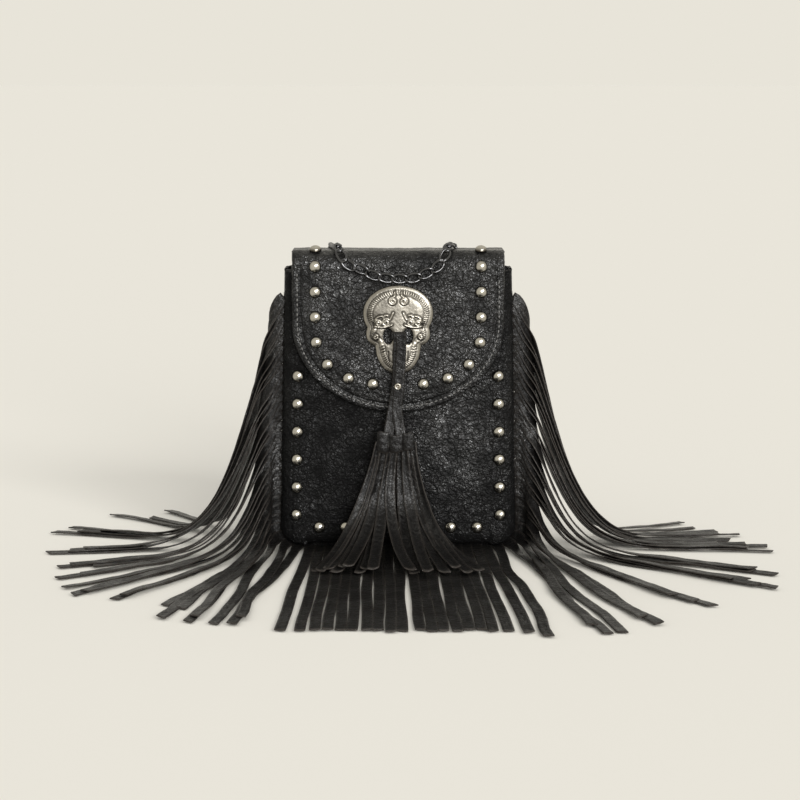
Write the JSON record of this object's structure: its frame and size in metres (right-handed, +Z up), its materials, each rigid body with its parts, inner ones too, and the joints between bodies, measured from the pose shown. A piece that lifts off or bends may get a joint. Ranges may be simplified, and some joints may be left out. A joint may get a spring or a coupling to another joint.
{
  "type": "fringed leather flap bag",
  "caption": "Small flat leather shoulder bag with a curved flap, dome studs, a cast concho with a tassel, a curb chain and long cut fringe round three sides.",
  "frame": {"origin": "centre of the flat base, under the gusset", "axes": "+Z up, the front with the flap faces -Y, +X to the right seen from the front"},
  "size_m": [0.4675, 0.3881, 0.1937],
  "materials": {
    "black_leather": "glossy pebbled and creased grain",
    "cut_leather": "grained face with raw cut edges",
    "lining_cloth": "plain woven",
    "cast_pewter": "antiqued, dark in the hollows",
    "aged_brass": "polished domes, aged",
    "gunmetal": "dark polished plating"
  },
  "bodies": {
    "root": {"front_panel": "black_leather", "back_panel": "black_leather", "gusset": "black_leather", "ring_tab_left": "black_leather", "ring_tab_right": "black_leather", "fringe_left": "cut_leather", "fringe_base": "cut_leather", "fringe_right": "cut_leather", "lining": "lining_cloth", "snap_socket": "cast_pewter", "body_stud_left_1": "aged_brass", "body_stud_left_2": "aged_brass", "body_stud_left_3": "aged_brass", "body_stud_left_4": "aged_brass", "body_stud_left_5": "aged_brass", "body_stud_left_6": "aged_brass", "body_stud_right_1": "aged_brass", "body_stud_right_2": "aged_brass", "body_stud_right_3": "aged_brass", "body_stud_right_4": "aged_brass", "body_stud_right_5": "aged_brass", "body_stud_right_6": "aged_brass", "body_stud_base_1": "aged_brass", "body_stud_base_2": "aged_brass", "body_stud_base_3": "aged_brass", "body_stud_base_4": "aged_brass", "body_stud_base_5": "aged_brass", "body_stud_base_6": "aged_brass", "body_stud_base_7": "aged_brass", "chain_back_left": "gunmetal", "chain_back_right": "gunmetal", "d_ring_left": "gunmetal", "d_ring_right": "gunmetal"},
    "flap": {"flap": "black_leather", "snap_stud": "cast_pewter", "concho": "cast_pewter", "thong_loop": "cut_leather", "chain_front": "gunmetal", "flap_stud_middle": "aged_brass", "flap_stud_left_1": "aged_brass", "flap_stud_left_2": "aged_brass", "flap_stud_left_3": "aged_brass", "flap_stud_left_4": "aged_brass", "flap_stud_left_5": "aged_brass", "flap_stud_left_6": "aged_brass", "flap_stud_left_7": "aged_brass", "flap_stud_right_1": "aged_brass", "flap_stud_right_2": "aged_brass", "flap_stud_right_3": "aged_brass", "flap_stud_right_4": "aged_brass", "flap_stud_right_5": "aged_brass", "flap_stud_right_6": "aged_brass", "flap_stud_right_7": "aged_brass", "flap_stud_left_top": "aged_brass", "flap_stud_right_top": "aged_brass"},
    "tassel": {"tassel": "cut_leather", "tassel_rivet": "cast_pewter"}
  },
  "joints": [
    {"name": "flap_hinge", "type": "hinge", "parent": "root", "child": "flap", "pos_m": [0, 0.0146, 0.1919], "axis": [-1, 0, 0], "range_deg": [0, 180]},
    {"name": "tassel_swing", "type": "hinge", "parent": "flap", "child": "tassel", "pos_m": [0, -0.0288, 0.1371], "axis": [-1, 0, 0], "range_deg": [0, 90]}
  ]
}
